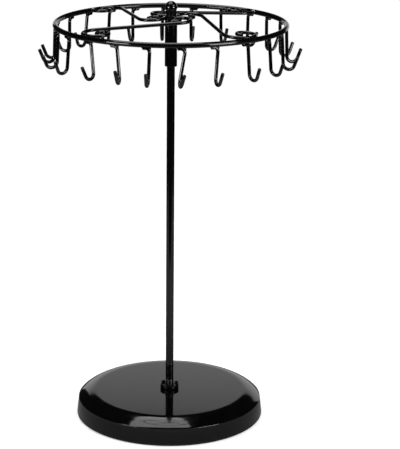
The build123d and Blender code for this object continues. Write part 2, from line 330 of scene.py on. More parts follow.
class Finishes:
    """Every material of the carousel."""

    def __init__(self) -> None:
        """Build the materials."""
        effects = SharedEffects()
        # Each has its name, its dark and light colours, its least and most roughness, the scale of its mottle,
        # and the scale, strength and depth of its skin.
        self.base_paint = Finish(
            "gloss_black_base", (0.0007, 0.0007, 0.0008), (0.0016, 0.0016, 0.0018), 0.070, 0.105,
            90.0, 260.0, 0.035, 0.00003, wear_height=0.0012, wear_spread=0.0012,
            wear_colour=(0.045, 0.044, 0.043)).build(effects)
        self.rod_paint = Finish(
            "gloss_black_rod", (0.0008, 0.0008, 0.0009), (0.0018, 0.0018, 0.0020), 0.06, 0.11,
            260.0, 900.0, 0.08, 0.00003).build(effects)
        self.wire_paint = Finish(
            "gloss_black_wire", (0.0008, 0.0008, 0.0009), (0.0020, 0.0020, 0.0022), 0.06, 0.12,
            320.0, 1100.0, 0.12, 0.00004).build(effects)
        self.weld_paint = Finish(
            "gloss_black_weld", (0.0008, 0.0008, 0.0009), (0.0024, 0.0024, 0.0026), 0.10, 0.20,
            700.0, 1500.0, 0.35, 0.00008, fine_share=0.5).build(effects)
        self.nut_paint = Finish(
            "gloss_black_nut", (0.0008, 0.0008, 0.0009), (0.0020, 0.0020, 0.0022), 0.20, 0.32,
            500.0, 1400.0, 0.25, 0.00006, specular=0.10).build(effects)
        self.plated_steel = Finish(
            "zinc_plated_steel", (0.50, 0.51, 0.50), (0.66, 0.67, 0.66), 0.24, 0.40,
            500.0, 2200.0, 0.25, 0.00005, metallic=1.0).build(effects)
        self.ball_steel = Finish(
            "polished_ball_steel", (0.68, 0.68, 0.69), (0.76, 0.76, 0.77), 0.05, 0.10,
            900.0, 2500.0, 0.06, 0.00002, metallic=1.0).build(effects)
        self.ballast_iron = Finish(
            "cast_ballast_iron", (0.075, 0.070, 0.066), (0.15, 0.14, 0.13), 0.55, 0.75,
            160.0, 700.0, 0.7, 0.0003, fine_share=0.6, metallic=0.7).build(effects)
        self.board = Finish(
            "pressed_board", (0.20, 0.13, 0.075), (0.34, 0.23, 0.14), 0.75, 0.9,
            420.0, 1600.0, 0.5, 0.0001, fine_share=0.7).build(effects)
        self.pad_rubber = Finish(
            "pad_rubber", (0.018, 0.018, 0.019), (0.034, 0.034, 0.035), 0.72, 0.9,
            300.0, 1300.0, 0.8, 0.0002, fine_share=0.8).build(effects)
        self.nylon = Finish(
            "natural_nylon", (0.72, 0.70, 0.62), (0.80, 0.78, 0.71), 0.38, 0.52,
            350.0, 1500.0, 0.2, 0.00005).build(effects)


def place_at_origin(name: str, mesh: Mesh) -> Object:
    """Link a finished mesh as an object at the origin.

    Args:
        name: the piece's name.
        mesh: its mesh, already in place.

    Returns:
        The new object.
    """
    mesh.name = name
    piece = bpy.data.objects.new(name, mesh)
    bpy.context.scene.collection.objects.link(piece)
    return piece


def run_tree(name: str, mesh: Mesh, tree: NodeTree, values: dict[str, object]) -> Mesh:
    """Run a geometry tree on a mesh and return the plain result.

    Args:
        name: a name for the temporary object.
        mesh: the mesh that the tree takes.
        tree: the geometry tree.
        values: the tree's inputs by name.

    Returns:
        The resulting mesh.
    """
    carrier = place_at_origin(name, mesh)
    modifier = carrier.modifiers.new("build", "NODES")
    modifier.node_group = tree
    for item in tree.interface.items_tree:
        if item.item_type == "SOCKET" and item.in_out == "INPUT" and item.name in values:
            modifier[item.identifier] = values[item.name]
    carrier.update_tag()
    bpy.context.view_layer.update()
    evaluated = carrier.evaluated_get(bpy.context.evaluated_depsgraph_get())
    result = bpy.data.meshes.new_from_object(evaluated)
    carrier.modifiers.remove(modifier)
    bpy.data.objects.remove(carrier)
    bpy.data.meshes.remove(mesh)
    return result


def line_mesh(name: str, lines: Sequence[Sequence[Sequence[float]]], closed: bool = False,
              thickness: Sequence[Sequence[float]] | None = None) -> Mesh:
    """Make a mesh of separate lines of vertices.

    Args:
        name: the mesh's name.
        lines: the vertices of each line.
        closed: whether the last vertex of a line joins its first.
        thickness: a share of the full wire radius for each vertex of each line.

    Returns:
        The new mesh.
    """
    points: list[tuple[float, ...]] = []
    edges: list[tuple[int, int]] = []
    for line in lines:
        first, count = len(points), len(line)
        points += [tuple(point) for point in line]
        edges += [(first + step, first + (step + 1) % count) for step in range(count if closed else count - 1)]
    mesh = bpy.data.meshes.new(name)
    mesh.from_pydata(points, edges, [])
    shares = [share for line in thickness for share in line] if thickness else [1.0] * len(points)
    mesh.attributes.new("thickness", "FLOAT", "POINT").data.foreach_set("value", shares)
    return mesh


class PieceTree(GroupTree):
    """A geometry tree that builds one kind of piece."""

    def __init__(self, name: str) -> None:
        """Make an empty tree."""
        super().__init__(name, "GeometryNodeTree")

    def stored(self, name: str) -> NodeSocket:
        """The value of a number stored on each vertex."""
        node = self.add("GeometryNodeInputNamedAttribute", {"Name": name}, data_type="FLOAT")
        return node.outputs["Attribute"]

    def smoothed(self, mesh: NodeSocket, crease: float) -> NodeSocket:
        """Shade a mesh smooth save for the edges that turn more than the crease, in degrees."""
        faces = self.out("GeometryNodeSetShadeSmooth", {"Geometry": mesh}, domain="FACE")
        angle = self.add("GeometryNodeInputMeshEdgeAngle").outputs["Unsigned Angle"]
        sharp = self.out("FunctionNodeCompare", {0: angle, 1: math.radians(crease)}, data_type="FLOAT",
                         operation="GREATER_THAN")
        return self.out("GeometryNodeSetShadeSmooth", {"Geometry": faces, "Selection": sharp, "Shade Smooth": False},
                        domain="EDGE")

    def finished(self, mesh: NodeSocket, material: NodeSocket) -> NodeTree:
        """End the tree in Realize Instances and Set Material, and give it."""
        plain = self.out("GeometryNodeRealizeInstances", {"Geometry": mesh})
        self.gives("Geometry", self.out("GeometryNodeSetMaterial", {"Geometry": plain, "Material": material}))
        return self.tree

    def round_grid(self, segments: object, rows: object) -> tuple[NodeSocket, ...]:
        """Add a grid to be wrapped round the Z axis.

        Args:
            segments: steps round the axis.
            rows: vertices from one end of the profile to the other.

        Returns:
            The grid's mesh, the angle of each vertex in radians and its row's share from 0 to 1.
        """
        grid = self.out("GeometryNodeMeshGrid", {
            "Size X": 1.0, "Size Y": 1.0, "Vertices X": self.math("ADD", segments, 1.0), "Vertices Y": rows})
        place = self.out("GeometryNodeInputPosition")
        angle = self.math("MULTIPLY", self.math("ADD", self.axis(place, "X"), 0.5), FULL_TURN)
        return grid, angle, self.math("ADD", self.axis(place, "Y"), 0.5)

    def wrapped(self, grid: NodeSocket, angle: NodeSocket, radius: NodeSocket, height: NodeSocket) -> NodeSocket:
        """Wrap a grid round the Z axis and close its seam and poles.

        Args:
            grid: the grid's mesh.
            angle: each vertex's angle.
            radius: each vertex's radius.
            height: each vertex's height.

        Returns:
            The closed mesh.
        """
        place = self.out("ShaderNodeCombineXYZ", {
            "X": self.math("MULTIPLY", radius, self.math("COSINE", angle)),
            "Y": self.math("MULTIPLY", radius, self.math("SINE", angle)), "Z": height})
        moved = self.out("GeometryNodeSetPosition", {"Geometry": grid, "Position": place})
        return self.out("GeometryNodeMergeByDistance", {"Geometry": moved, "Distance": MERGE_GAP})

    def turned_copies(self, points: NodeSocket, piece: NodeSocket, bearing: NodeSocket, **size: NodeSocket
                      ) -> NodeSocket:
        """Copy a piece to each point, turned about the vertical.

        Args:
            points: where the copies go.
            piece: the geometry to copy.
            bearing: each copy's turn, in radians.
            **size: the Scale of every copy, if any.

        Returns:
            The instances.
        """
        turn = self.out("ShaderNodeCombineXYZ", {"Z": bearing})
        rotation = self.out("FunctionNodeEulerToRotation", {0: turn})
        return self.out("GeometryNodeInstanceOnPoints", {
            "Points": points, "Instance": piece, "Rotation": rotation, **size})


class PieceTrees:
    """The geometry trees that build the turned, bent and welded pieces."""

    def __init__(self) -> None:
        """Build the trees once."""
        self.lathe = self._lathe()
        self.thread = self._thread()
        self.wire = self._wire()
        self.weld = self._weld()

    @staticmethod
    def _lathe() -> NodeTree:
        """Turns a line of (radius, 0, height) vertices about the Z axis."""
        tree = PieceTree("turned_piece")
        profile, segments, material = tree.takes({"Geometry": None, "Segments": 96, "Material": None})
        count = tree.add("GeometryNodeAttributeDomainSize", {"Geometry": profile}, component="MESH")
        rows = count.outputs["Point Count"]
        grid, angle, share = tree.round_grid(segments, rows)
        index = tree.math("ROUND", tree.math("MULTIPLY", share, tree.math("SUBTRACT", rows, 1.0)))
        corner = tree.out("GeometryNodeSampleIndex", {
            "Geometry": profile, "Value": tree.out("GeometryNodeInputPosition"), "Index": index},
            data_type="FLOAT_VECTOR", domain="POINT")
        closed = tree.wrapped(grid, angle, tree.axis(corner, "X"), tree.axis(corner, "Z"))
        return tree.finished(tree.smoothed(closed, LATHE_CREASE), material)

    @staticmethod
    def _thread() -> NodeTree:
        """A rod whose surface carries one helical ridge that fades out at its top."""
        tree = PieceTree("threaded_rod")
        _, bottom, length, root, crest, end_radius, pitch, rows, segments, material = tree.takes({
            "Geometry": None, "Bottom": 0.0, "Length": 0.02, "Root Radius": 0.003, "Crest Radius": 0.0034,
            "End Radius": 0.0031, "Pitch": 0.00127, "Rows": 240, "Segments": 48, "Material": None})
        grid, angle, share = tree.round_grid(segments, rows)
        along = tree.math("MULTIPLY", share, length)
        turns = tree.math("SUBTRACT", tree.math("DIVIDE", along, pitch), tree.math("DIVIDE", angle, FULL_TURN))
        wave = tree.math("COSINE", tree.math("MULTIPLY", turns, FULL_TURN))
        rise = tree.map_range(wave, -0.75, 0.75, 0.0, 1.0, smooth=True)
        ridge = tree.map_range(rise, 0.0, 1.0, root, crest)
        fade = tree.map_range(tree.math("SUBTRACT", length, along), 0.0, pitch, 0.0, 1.0, smooth=True)
        radius = tree.map_range(fade, 0.0, 1.0, end_radius, ridge)
        closed = tree.wrapped(grid, angle, radius, tree.math("ADD", bottom, along))
        return tree.finished(tree.smoothed(closed, THREAD_CREASE), material)

    @staticmethod
    def _wire() -> NodeTree:
        """Gives lines their round wire and repeats them evenly round the rod's axis."""
        tree = PieceTree("bent_wire")
        line, radius, sides, count, material = tree.takes({
            "Geometry": None, "Wire Radius": 0.00135, "Sides": 20, "Count": 1, "Material": None})
        section = tree.out("GeometryNodeCurvePrimitiveCircle", {"Resolution": sides, "Radius": radius}, mode="RADIUS")
        wire = tree.out("GeometryNodeCurveToMesh", {
            "Curve": tree.out("GeometryNodeMeshToCurve", {"Mesh": line}), "Profile Curve": section,
            "Scale": tree.stored("thickness"), "Fill Caps": True})
        points = tree.out("GeometryNodePoints", {"Count": count})
        bearing = tree.math("MULTIPLY", tree.out("GeometryNodeInputIndex"), tree.math("DIVIDE", FULL_TURN, count))
        return tree.finished(tree.turned_copies(points, tree.smoothed(wire, WIRE_CREASE), bearing), material)

    @staticmethod
    def _weld() -> NodeTree:
        """Puts an uneven bead of weld at each point, each with its own lumps."""
        tree = PieceTree("weld_bead")
        points, size, lumps, seed, material = tree.takes({
            "Geometry": None, "Size": (0.0, 0.0, 0.0), "Lumps": 0.0002, "Seed": 3.0, "Material": None})
        ball = tree.out("GeometryNodeMeshIcoSphere", {"Radius": 1.0, "Subdivisions": 4})
        copies = tree.turned_copies(points, ball, tree.stored("bearing"), Scale=size)
        plain = tree.out("GeometryNodeRealizeInstances", {"Geometry": copies})
        noise = tree.add("ShaderNodeTexNoise", {
            "Vector": tree.out("GeometryNodeInputPosition"), "W": seed, "Scale": LUMP_SCALE}, noise_dimensions="4D")
        lump = tree.math("MULTIPLY", tree.math("SUBTRACT", noise.outputs["Fac"], 0.5), lumps)
        push = tree.out("ShaderNodeVectorMath", {0: tree.out("GeometryNodeInputNormal"), "Scale": lump},
                        operation="SCALE")
        uneven = tree.out("GeometryNodeSetPosition", {"Geometry": plain, "Offset": push})
        return tree.finished(tree.smoothed(uneven, WELD_CREASE), material)


def arc(centre: Point2, radius: float, start: float, end: float, steps: int) -> list[Point2]:
    """Points along a circular arc in a plane.

    Args:
        centre: the arc's centre.
        radius: its radius.
        start: the bearing where it starts, in degrees.
        end: the bearing where it ends.
        steps: how many chords it has.

    Returns:
        The points, both ends included.
    """
    bearings = [math.radians(start + (end - start) * step / steps) for step in range(steps + 1)]
    return [(centre[0] + radius * math.cos(b), centre[1] + radius * math.sin(b)) for b in bearings]


def rounded_profile(corners: Sequence[tuple[float, float, float]], steps: int = 4) -> list[Point2]:
    """Round the corners of an open profile.

    Args:
        corners: (radius, height, rounding) of each corner, the ends included.
        steps: chords in each rounding.

    Returns:
        The profile's points.
    """
    points: list[Point2] = [corners[0][:2]]
    for before, here, after in zip(corners, corners[1:], corners[2:]):
        corner = Vector(here[:2])
        if here[2] <= 0.0:
            points.append(tuple(corner))
            continue
        back = (Vector(before[:2]) - corner).normalized()
        ahead = (Vector(after[:2]) - corner).normalized()
        half = back.angle(ahead) / 2.0
        reach = here[2] / math.tan(half)
        start = corner + back * reach
        end = corner + ahead * reach
        centre = corner + (back + ahead).normalized() * here[2] / math.sin(half)
        for step in range(steps + 1):
            chord = start.lerp(end, step / steps) - centre
            points.append(tuple(centre + chord.normalized() * here[2]))
    points.append(corners[-1][:2])
    return points


def washer_profile(bore: float, radius: float, low: float, high: float, edge: float) -> list[Point2]:
    """The closed section of a washer with eased edges.

    Args:
        bore: the radius of its hole.
        radius: its outer radius.
        low: the height of its underside.
        high: the height of its top.
        edge: the rounding of its edges.

    Returns:
        (radius, height) points from the middle of the underside.
    """
    middle = (bore + radius) / 2.0
    return rounded_profile([(middle, low, 0.0), (radius, low, edge), (radius, high, edge), (bore, high, edge),
                            (bore, low, edge), (middle, low, 0.0)])


@dataclass(frozen=True)
class Bead:
    """A kind of weld bead: its half sizes, the height of its lumps and the seed of their pattern."""

    name: str
    size: tuple[float, float, float]
    lumps: float
    seed: float


@dataclass
class Workshop:
    """What every sub-assembly needs to make its pieces."""

    trees: PieceTrees
    finishes: Finishes

    def turned(self, name: str, profile: Sequence[Point2], material: Material, segments: int = 96) -> Mesh:
        """Turn a profile about the Z axis.

        Args:
            name: the mesh's name.
            profile: (radius, height) points, anticlockwise as seen with the axis on the left.
            material: the finish.
            segments: steps round the axis.

        Returns:
            The turned mesh.
        """
        line = line_mesh(name, [[(radius, 0.0, height) for radius, height in profile]])
        return run_tree(name, line, self.trees.lathe, {"Segments": segments, "Material": material})

    def wired(self, name: str, lines: Mesh, radius: float, sides: int, count: int = 1) -> Mesh:
        """Give lines their round painted wire.

        Args:
            name: the mesh's name.
            lines: the mesh of the lines.
            radius: the wire's radius.
            sides: how many sides its section has.
            count: how many times the lines are repeated round the rod's axis.

        Returns:
            The mesh of the wires.
        """
        values = {"Wire Radius": radius, "Sides": sides, "Count": count, "Material": self.finishes.wire_paint}
        return facing_out(run_tree(name, lines, self.trees.wire, values))

    def welded(self, bead: Bead, places: Sequence[Vector], bearings: Sequence[float]) -> Mesh:
        """Put a painted weld bead at each place.

        Args:
            bead: the kind of bead.
            places: the beads' middles.
            bearings: the way that each bead faces, in degrees.

        Returns:
            The mesh of the beads.
        """
        mesh = bpy.data.meshes.new(bead.name)
        mesh.from_pydata([tuple(place) for place in places], [], [])
        turns = [math.radians(bearing) for bearing in bearings]
        mesh.attributes.new("bearing", "FLOAT", "POINT").data.foreach_set("value", turns)
        values = {"Size": bead.size, "Lumps": bead.lumps, "Seed": bead.seed, "Material": self.finishes.weld_paint}
        return run_tree(bead.name, mesh, self.trees.weld, values)

    def deliver(self, name: str, mesh: Mesh, body: Body, replaced: Sequence[str] = (),
                slot: Slot = Slot.GLOSS_BLACK) -> None:
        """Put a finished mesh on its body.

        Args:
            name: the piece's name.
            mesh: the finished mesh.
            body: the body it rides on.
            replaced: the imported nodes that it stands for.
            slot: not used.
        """
        piece = place_at_origin(name, mesh)
        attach(piece, body.value)
        if replaced:
            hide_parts(*replaced)
        log.info("%s: %d faces on %s", name, len(mesh.polygons), body.value)


def dress_nodes(finishes: dict[str, Material]) -> None:
    """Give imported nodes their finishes, by the nodes' names, and leave their meshes alone."""
    for name, material in finishes.items():
        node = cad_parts[name]
        if node.material_slots:
            for place in node.material_slots:
                place.material = material
        else:
            node.data.materials.append(material)
        log.info("%s: dressed as %s", name, material.name)


def joined(first: Mesh, *others: Mesh) -> Mesh:
    """Join meshes that share one finish into the first one.

    Args:
        first: the mesh that takes the rest.
        *others: the meshes to add.

    Returns:
        The joined mesh, with that finish as its only one.
    """
    finish = next(material for material in first.materials if material)
    together = bmesh.new()
    for mesh in (first, *others):
        together.from_mesh(mesh)
    for face in together.faces:
        face.material_index = 0
    together.to_mesh(first)
    together.free()
    first.materials.clear()
    first.materials.append(finish)
    for mesh in others:
        bpy.data.meshes.remove(mesh)
    return first


def facing_out(mesh: Mesh) -> Mesh:
    """Make a closed mesh's faces point outwards."""
    work = bmesh.new()
    work.from_mesh(mesh)
    bmesh.ops.recalc_face_normals(work, faces=work.faces)
    work.to_mesh(mesh)
    work.free()
    return mesh


@dataclass
class WeightedBase:
    """The pressed shell, its pad and what it holds."""

    shop: Workshop
    skirt_lean: float = 0.0015
    shoulder_width: float = 0.0145
    shoulder_height: float = 0.0059
    crease_round: float = 0.0005
    wall: float = 0.001
    hem_width: float = 0.004
    hem_bead: float = 0.0009
    hole_radius: float = 0.0037
    pad_edge: float = 0.0004
    washer_edge: float = 0.00015
    flat_rings: int = 24
    segments: int = 256

    def shell_profile(self) -> list[Point2]:
        """The shell's section, from the hole in its top over the outside and back along the inside.

        Returns:
            (radius, height) points in order.
        """
        outer = node_radius("base_shell")
        low, top = node_span("base_shell")
        crease_radius = outer - self.skirt_lean
        crease_z = top - self.shoulder_height
        flat = crease_radius - self.shoulder_width
        bend = (self.shoulder_width ** 2 + self.shoulder_height ** 2) / (2.0 * self.shoulder_height)
        centre = (flat, top - bend)
        edge = math.degrees(math.atan2(crease_z - centre[1], self.shoulder_width))
        points: list[Point2] = [(self.hole_radius, top)]
        points += [(self.hole_radius + (flat - self.hole_radius) * step / self.flat_rings, top)
                   for step in range(1, self.flat_rings)]
        shoulder = arc(centre, bend, 90.0, edge, steps=40)
        skirt_foot = (outer, low + self.hem_bead)
        crease = rounded_profile([(*shoulder[-2], 0.0), (*shoulder[-1], self.crease_round),
                                  (*skirt_foot, 0.0)], steps=8)
        bead = (outer - self.hem_bead, low + self.hem_bead)
        points += shoulder[:-2] + crease + arc(bead, self.hem_bead, 0.0, -90.0, steps=8)[1:]
        points += [(outer - self.hem_width, low), (outer - self.hem_width, low + self.wall)]
        points += arc(bead, self.hem_bead, 130.0, 60.0, steps=6)
        inner_skirt = (crease_radius - self.wall, crease_z - self.wall / 2.0)
        points += [(outer - 1.3 * self.wall, low + 2.2 * self.hem_bead), inner_skirt]
        points += arc(centre, bend - self.wall, edge, 90.0, steps=24)[1:]
        return points + [(self.hole_radius, top - self.wall), (self.hole_radius, top)]

    def make_shell(self) -> None:
        """The painted shell."""
        mesh = self.shop.turned("base_shell_skin", self.shell_profile(), self.shop.finishes.base_paint, self.segments)
        self.shop.deliver("base_shell_skin", facing_out(mesh), Body.STAND, ["base_shell"])

    def make_pad(self) -> None:
        """The rubber pad under the base, with an eased edge."""
        radius = node_radius("base_pad")
        low, high = node_span("base_pad")
        profile = rounded_profile([(0.0, low, 0.0), (radius, low, self.pad_edge), (radius, high, self.pad_edge),
                                   (0.0, high, 0.0)])
        mesh = self.shop.turned("base_pad_rubber", profile, self.shop.finishes.pad_rubber, segments=160)
        self.shop.deliver("base_pad_rubber", facing_out(mesh), Body.STAND, ["base_pad"], Slot.FOAM_PAD)

    def make_top_washer(self) -> None:
        """The painted washer under the wing nut."""
        low, high = node_span("top_washer")
        profile = washer_profile(self.hole_radius, node_radius("top_washer"), low, high, self.washer_edge)
        mesh = self.shop.turned("top_washer_painted", profile, self.shop.finishes.nut_paint)
        self.shop.deliver("top_washer_painted", facing_out(mesh), Body.STAND, ["top_washer"])

    def build(self) -> None:
        """Make every piece of the base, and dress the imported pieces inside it."""
        self.make_shell()
        self.make_pad()
        self.make_top_washer()
        finishes = self.shop.finishes
        dress_nodes({"ballast_disc": finishes.ballast_iron, "bottom_cover": finishes.board,
                     "foot_washer": finishes.plated_steel, "lock_washer": finishes.plated_steel,
                     "foot_nut": finishes.plated_steel})


@dataclass
class UprightRod:
    """The rod with its thread and cup, and the wing nut that locks it."""

    shop: Workshop
    thread_pitch: float = 0.00127
    thread_depth: float = 0.00055
    thread_crest: float = 0.00345
    thread_length: float = 0.0250
    rod_radius: float = 0.003175
    cup_radius: float = 0.00203
    bore: float = 0.0035
    nut_body_height: float = 0.0027
    nut_edge: float = 0.0003
    ear_bearings: tuple[float, ...] = (22.0, 142.0, 262.0)
    ear_width: float = 0.0034
    ear_thickness: float = 0.0019
    ear_round: float = 0.0005
    ear_steps: int = 6
    sharp_turn: float = 40.0

    def make_rod(self) -> None:
        """The painted rod, with a helical thread at its foot."""
        finish = self.shop.finishes.rod_paint
        low, high = node_span("pole")
        thread_top = low + self.thread_length
        root = self.thread_crest - self.thread_depth
        values = {"Bottom": low, "Length": self.thread_length, "Root Radius": root, "Crest Radius": self.thread_crest,
                  "End Radius": self.rod_radius, "Pitch": self.thread_pitch, "Rows": 260, "Segments": 40,
                  "Material": finish}
        thread = run_tree("pole_thread", bpy.data.meshes.new("pole_thread"), self.shop.trees.thread, values)
        foot = self.shop.turned("pole_foot", [(0.0, low), (root, low)], finish, segments=40)
        pivot_z = sum(node_span("pivot_ball")) / 2.0
        lip = math.degrees(math.asin((high - pivot_z) / self.cup_radius))
        cup = arc((0.0, pivot_z), self.cup_radius, lip, -90.0, steps=16)
        steps = 30
        side = [(self.rod_radius, thread_top + (high - thread_top) * step / steps) for step in range(steps + 1)]
        body = self.shop.turned("pole_body", side + cup, finish, segments=80)
        self.shop.deliver("pole_painted", joined(body, thread, foot), Body.STAND, ["pole"])

    def make_ear(self, bearing: float) -> Mesh:
        """One ear of the wing nut, on the rim of its body.

        Args:
            bearing: the ear's bearing, in degrees.

        Returns:
            The ear's mesh.
        """
        rim = node_radius("wing_nut")
        half = math.asin(self.ear_width / 2.0 / rim)
        turns = [half * (2.0 * step / self.ear_steps - 1.0) for step in range(self.ear_steps + 1)]
        inner = rim - self.ear_thickness
        outline = [Vector((inner, -self.ear_width / 2.0, 0.0))]
        outline += [Vector((rim * math.cos(turn), rim * math.sin(turn), 0.0)) for turn in turns]
        outline.append(Vector((inner, self.ear_width / 2.0, 0.0)))
        swing = Matrix.Rotation(math.radians(bearing), 3, "Z")
        low, high = node_span("wing_nut")
        work = bmesh.new()
        foot, top = [[work.verts.new((swing @ corner) + Vector((0.0, 0.0, height))) for corner in outline]
                     for height in (low + self.nut_edge, high)]
        work.faces.new(list(reversed(foot)))
        work.faces.new(top)
        for here in range(len(outline)):
            ahead = (here + 1) % len(outline)
            work.faces.new((foot[here], foot[ahead], top[ahead], top[here]))
        bmesh.ops.recalc_face_normals(work, faces=work.faces)
        sharp = [edge for edge in work.edges if edge.calc_face_angle() > math.radians(self.sharp_turn)]
        bmesh.ops.bevel(work, geom=sharp, offset=self.ear_round, segments=5, profile=0.5,
                        affect="EDGES", clamp_overlap=True)
        for face in work.faces:
            face.smooth = True
        mesh = bpy.data.meshes.new("wing_nut_ear")
        work.to_mesh(mesh)
        work.free()
        mesh.materials.append(self.shop.finishes.nut_paint)
        return mesh

    def make_wing_nut(self) -> None:
        """The wing nut: a low round body with three eased ears on its rim."""
        low, _ = node_span("wing_nut")
        profile = washer_profile(self.bore, node_radius("wing_nut"), low, low + self.nut_body_height, self.nut_edge)
        body = self.shop.turned("wing_nut_body", profile, self.shop.finishes.nut_paint, segments=72)
        mesh = joined(facing_out(body), *[self.make_ear(bearing) for bearing in self.ear_bearings])
        self.shop.deliver("wing_nut_painted", mesh, Body.STAND, ["wing_nut"])

    def build(self) -> None:
        """Make the rod and the wing nut, and dress the ball."""
        self.make_rod()
        self.make_wing_nut()
        dress_nodes({"pivot_ball": self.shop.finishes.ball_steel})


@dataclass
class HubAndFinial:
    """The turning sleeve and the ball knob on it."""

    shop: Workshop
    sleeve_wall: float = 0.0008
    sleeve_edge: float = 0.0003
    neck_waist: float = 0.0008
    neck_height: float = 0.00355
    neck_round: float = 0.0008
    neck_edge: float = 0.0002
    neck_straight: float = 0.001
    join_angle: float = 6.0

    def make_sleeve(self) -> None:
        """The painted sleeve."""
        radius = node_radius("hub_sleeve")
        bore = radius - self.sleeve_wall
        low, high = node_span("hub_sleeve")
        middle = (low + high) / 2.0
        profile = rounded_profile([(bore, middle, 0.0), (bore, low, 0.0), (radius, low, self.sleeve_edge),
                                   (radius, high, self.sleeve_edge), (bore, high, 0.0), (bore, middle, 0.0)])
        mesh = self.shop.turned("hub_sleeve_painted", profile, self.shop.finishes.rod_paint)
        self.shop.deliver("hub_sleeve_painted", facing_out(mesh), Body.HEAD, ["hub_sleeve"])

    def make_finial(self) -> None:
        """The ball knob on its short neck, bored for its stud."""
        radius = node_radius("finial")
        low, high = node_span("finial")
        ball_z = high - radius
        neck = radius - self.neck_waist
        bore = node_radius("finial_stud")
        _, stud_top = node_span("finial_stud")
        neck_top = low + self.neck_height
        angle = math.degrees(math.asin((neck_top - ball_z) / radius))
        ball = arc((0.0, ball_z), radius, angle + self.join_angle, 90.0, steps=40)
        join = rounded_profile([(neck, low + self.neck_straight, 0.0), (neck, neck_top, self.neck_round),
                                (*ball[0], 0.0)], steps=6)
        profile = [(0.0, stud_top), (bore, stud_top), (bore, low), (neck - self.neck_edge, low),
                   (neck, low + self.neck_edge)]
        mesh = self.shop.turned("finial_knob", profile + join + ball[1:], self.shop.finishes.rod_paint)
        self.shop.deliver("finial_knob", facing_out(mesh), Body.HEAD, ["finial"])

    def build(self) -> None:
        """Make the sleeve and the finial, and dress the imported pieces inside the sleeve."""
        self.make_sleeve()
        self.make_finial()
        finishes = self.shop.finishes
        dress_nodes({"lower_bush": finishes.nylon, "upper_bush": finishes.nylon,
                     "sleeve_plug": finishes.plated_steel, "finial_stud": finishes.plated_steel})


@dataclass(frozen=True)
class HookSetting:
    """How one hook was welded on, in degrees."""

    bearing: float
    side_lean: float
    twist: float


HOOK_SETTINGS = tuple(HookSetting(*angles) for angles in (
    (31.5, 2, 0), (46, 3, 0), (63, 0, 0), (79.5, 0, 0), (94.5, 0, 0), (110.5, -1, 0), (124, 2, 0), (139, 5, 0),
    (154, -2, 0), (172, 0, 0), (183, 0, 0), (197, -4, 5), (211.5, -5, 8), (229, 8, 0), (244, 6, 14),
    (260, -2, 0), (276.5, -10, 5), (292.5, -5, 0), (309.5, 3, 0), (325.5, 4, -5), (340.5, 4, 0), (0.5, 0, 15),
    (16.5, 0, 12)))


